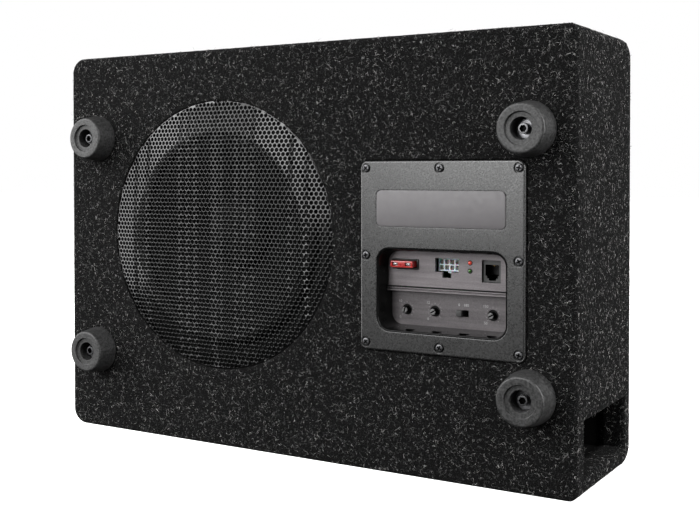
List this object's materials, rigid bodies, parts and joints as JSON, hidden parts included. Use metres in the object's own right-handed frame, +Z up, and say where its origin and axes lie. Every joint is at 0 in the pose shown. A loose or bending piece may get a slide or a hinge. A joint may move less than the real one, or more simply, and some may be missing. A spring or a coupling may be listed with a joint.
{
  "type": "powered car subwoofer",
  "caption": "Slim carpeted ported car subwoofer box with grilled driver, built-in amplifier, recessed control panel and rubber feet; moving cone, fuse, trim controls and phase switch.",
  "frame": {"origin": "centre of the box's footprint, on the surface that the box stands on", "axes": "+Z up, +X to the viewer's right along the box, driver and controls facing -Y"},
  "size_m": [0.428, 0.1324, 0.3],
  "materials": {
    "board_mdf": "raw pressed fibreboard",
    "felt": "needle-punched charcoal carpet with loose fibres",
    "grille_steel": "satin black powder coat",
    "basket_steel": "black powder coat",
    "gasket_foam": "closed-cell foam",
    "surround_rubber": "matte moulded rubber",
    "cone_coating": "coated paper",
    "coil_copper": "enamelled copper wire",
    "spider_cloth": "resin-treated cloth",
    "zinc_plated_steel": "zinc plated",
    "ferrite": "sintered ferrite",
    "terminal_board": "phenolic board with tinned lugs",
    "cable_jacket": "satin insulation",
    "foot_rubber": "moulded rubber",
    "foot_bolt_zinc": "zinc plated",
    "faceplate_paint": "fine textured grey powder coat",
    "inlay_plastic": "smooth satin overlay, blank",
    "screw_zinc": "bright zinc",
    "tray_plastic": "polished moulded plastic",
    "panel_coating": "satin anodised warm grey",
    "heat_sink_aluminium": "mill finish extrusion",
    "circuit_board": "solder-masked fibreglass",
    "capacitor_sleeve": "shrink sleeve over aluminium",
    "choke_copper": "enamelled copper winding",
    "fuse_holder_plastic": "moulded nylon",
    "fuse_red": "translucent red housing with zinc blades",
    "header_nylon": "natural nylon",
    "jack_plastic": "moulded plastic",
    "light_red": "clear tinted resin",
    "light_green": "clear tinted resin",
    "pot_plastic": "moulded plastic",
    "shaft_plastic": "moulded plastic",
    "switch_plastic": "moulded plastic",
    "lever_plastic": "moulded plastic"
  },
  "bodies": {
    "enclosure": {"front_baffle": "board_mdf", "back_panel": "board_mdf", "top_panel": "board_mdf", "bottom_panel": "board_mdf", "left_panel": "board_mdf", "right_panel": "board_mdf", "port_divider": "board_mdf", "carpet_cover": "felt", "base_carpet": "felt", "grille": "grille_steel", "driver_basket": "basket_steel", "frame_gasket": "gasket_foam", "surround": "surround_rubber", "spider": "spider_cloth", "top_plate": "zinc_plated_steel", "pole_yoke": "zinc_plated_steel", "ring_magnet": "ferrite", "terminal_strip": "terminal_board", "speaker_cable": "cable_jacket", "foot_1": "foot_rubber", "foot_2": "foot_rubber", "foot_3": "foot_rubber", "foot_4": "foot_rubber", "foot_bolt_1": "foot_bolt_zinc", "foot_bolt_2": "foot_bolt_zinc", "foot_bolt_3": "foot_bolt_zinc", "foot_bolt_4": "foot_bolt_zinc", "amp_plate": "faceplate_paint", "label_inlay": "inlay_plastic", "plate_screw_1": "screw_zinc", "plate_screw_2": "screw_zinc", "plate_screw_3": "screw_zinc", "plate_screw_4": "screw_zinc", "plate_screw_5": "screw_zinc", "plate_screw_6": "screw_zinc", "plate_screw_7": "screw_zinc", "plate_screw_8": "screw_zinc", "control_tray": "tray_plastic", "control_panel": "panel_coating", "heat_sink": "heat_sink_aluminium", "circuit_board": "circuit_board", "capacitor": "capacitor_sleeve", "choke_coil": "choke_copper", "fuse_holder": "fuse_holder_plastic", "power_header": "header_nylon", "remote_jack": "jack_plastic", "status_light_red": "light_red", "status_light_green": "light_green", "gain_pot": "pot_plastic", "boost_pot": "pot_plastic", "low_pass_pot": "pot_plastic", "phase_switch": "switch_plastic"},
    "cone_assembly": {"cone": "cone_coating", "dust_cap": "cone_coating", "voice_coil": "coil_copper"},
    "fuse": {"blade_fuse": "fuse_red"},
    "gain_control": {"gain_shaft": "shaft_plastic"},
    "boost_control": {"boost_shaft": "shaft_plastic"},
    "low_pass_control": {"low_pass_shaft": "shaft_plastic"},
    "phase_control": {"phase_lever": "lever_plastic"}
  },
  "joints": [
    {"name": "cone_travel", "type": "slide", "parent": "enclosure", "child": "cone_assembly", "axis": [0, -1, 0], "range_m": [-0.004, 0.004], "stiffness_N_per_m": 3000, "deforming": ["surround", "spider"]},
    {"name": "fuse_pull", "type": "slide", "parent": "enclosure", "child": "fuse", "axis": [0, -1, 0], "range_m": [0, 0.02]},
    {"name": "gain_turn", "type": "hinge", "parent": "enclosure", "child": "gain_control", "pos_m": [0.0882, -0.03475, 0.1118], "axis": [0, 1, 0], "range_deg": [-150, 120]},
    {"name": "boost_turn", "type": "hinge", "parent": "enclosure", "child": "boost_control", "pos_m": [0.1095, -0.03475, 0.1118], "axis": [0, 1, 0], "range_deg": [-195, 75]},
    {"name": "low_pass_turn", "type": "hinge", "parent": "enclosure", "child": "low_pass_control", "pos_m": [0.1518, -0.03475, 0.1118], "axis": [0, 1, 0], "range_deg": [-197, 73]},
    {"name": "phase_slide", "type": "slide", "parent": "enclosure", "child": "phase_control", "axis": [1, 0, 0], "range_m": [0, 0.0043]}
  ]
}
